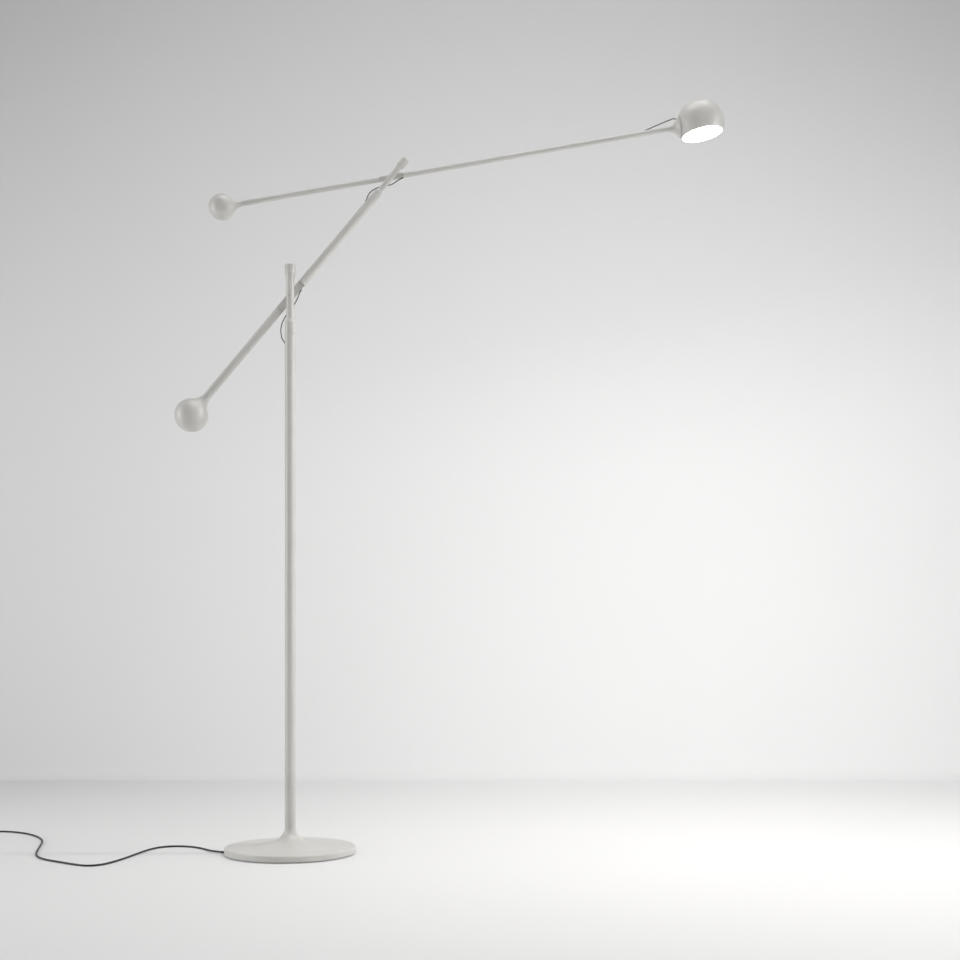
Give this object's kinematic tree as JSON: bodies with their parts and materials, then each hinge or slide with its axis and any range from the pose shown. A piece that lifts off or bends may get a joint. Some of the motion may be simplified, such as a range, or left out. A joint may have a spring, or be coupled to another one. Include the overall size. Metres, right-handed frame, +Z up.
{
  "type": "adjustable arm floor lamp",
  "caption": "Floor lamp with a round weighted base, slim post, balanced tilting arms with ball counterweights and a ball-shaped head that turns in a magnetic cup.",
  "frame": {"origin": "middle of the base's underside, on the floor", "axes": "+Z up along the post, +X towards the lamp head, +Y to the back, in the arms' plane's normal"},
  "size_m": [1.8971, 0.5428, 1.738],
  "materials": {
    "paint": "satin warm grey powder coat",
    "iron": "rough cast, dark primer",
    "rubber_black": "matte moulded rubber",
    "lead_jacket": "satin extruded jacket",
    "steel": "turned, zinc plated",
    "brass": "turned",
    "glide_plastic": "natural low-friction plastic",
    "magnet": "bright nickel plate",
    "heat_sink_metal": "as machined",
    "circuit_board": "white solder mask",
    "white_plastic": "smooth moulded",
    "opal_diffuser": "satin opal, lit",
    "black_plastic": "fine moulded texture"
  },
  "bodies": {
    "stand": {"base_cover": "paint", "base_weight": "iron", "floor_pad": "rubber_black", "post_foot": "steel", "post_stud": "steel", "stud_nut": "steel", "post_tube": "paint", "post_grommet": "rubber_black", "swivel_bush": "paint", "post_lead": "lead_jacket", "cord_relief": "rubber_black", "mains_cord": "lead_jacket", "cord_coil": "lead_jacket", "adapter": "black_plastic", "adapter_pins": "steel", "loop_post_low": "lead_jacket"},
    "post_head": {"post_head": "paint", "swivel_clip": "steel", "post_cap": "paint", "pivot_pin_1": "paint", "friction_washer_1": "brass", "disc_spring_1": "steel", "pivot_nut_1": "steel", "loop_post_high": "lead_jacket"},
    "lower_arm": {"lower_ball": "paint", "lower_ball_stud": "steel", "lower_tail_tube": "paint", "lower_hub": "paint", "link_tube": "paint", "elbow_block": "paint", "elbow_cap": "paint", "lower_grommets": "rubber_black", "lower_lead": "lead_jacket", "pivot_pin_2": "paint", "friction_washer_2": "brass", "disc_spring_2": "steel", "pivot_nut_2": "steel", "loop_elbow": "lead_jacket"},
    "upper_arm": {"upper_ball": "paint", "upper_ball_stud": "steel", "upper_tail_tube": "paint", "upper_hub": "paint", "head_tube": "paint", "upper_grommets": "rubber_black", "upper_lead": "lead_jacket", "cup": "paint", "cup_magnet": "magnet", "loop_cup": "lead_jacket"},
    "glide": {"glide_ring": "glide_plastic", "loop_head": "lead_jacket"},
    "head": {"head_shell": "paint", "bezel_ring": "white_plastic", "diffuser": "opal_diffuser", "reflector": "white_plastic", "led_board": "circuit_board", "heat_sink": "heat_sink_metal", "control_board": "circuit_board", "jack_socket": "black_plastic", "jack_plug": "black_plastic"}
  },
  "joints": [
    {"name": "post_swivel", "type": "hinge", "parent": "stand", "child": "post_head", "pos_m": [0, 0, 1.2], "axis": [0, 0, 1], "range_deg": [-60, 60], "deforming": ["loop_post_low"]},
    {"name": "lower_arm_tilt", "type": "hinge", "parent": "post_head", "child": "lower_arm", "pos_m": [0, 0.004, 1.282], "axis": [0, 1, 0], "range_deg": [-10, 60], "deforming": ["loop_post_high"]},
    {"name": "upper_arm_tilt", "type": "hinge", "parent": "lower_arm", "child": "upper_arm", "pos_m": [0.23192, 0.004, 1.55839], "axis": [0, 1, 0], "range_deg": [-12, 60], "deforming": ["loop_elbow"]},
    {"name": "head_spin", "type": "hinge", "parent": "upper_arm", "child": "glide", "pos_m": [0.94573, 0.007, 1.68297], "axis": [0.9851, 0, 0.1719], "range_deg": [-90, 90], "deforming": ["loop_cup"]},
    {"name": "head_tilt", "type": "hinge", "parent": "glide", "child": "head", "pos_m": [0.94573, 0.007, 1.68297], "axis": [0, 1, 0], "range_deg": [-50, 12], "deforming": ["loop_head"]}
  ]
}
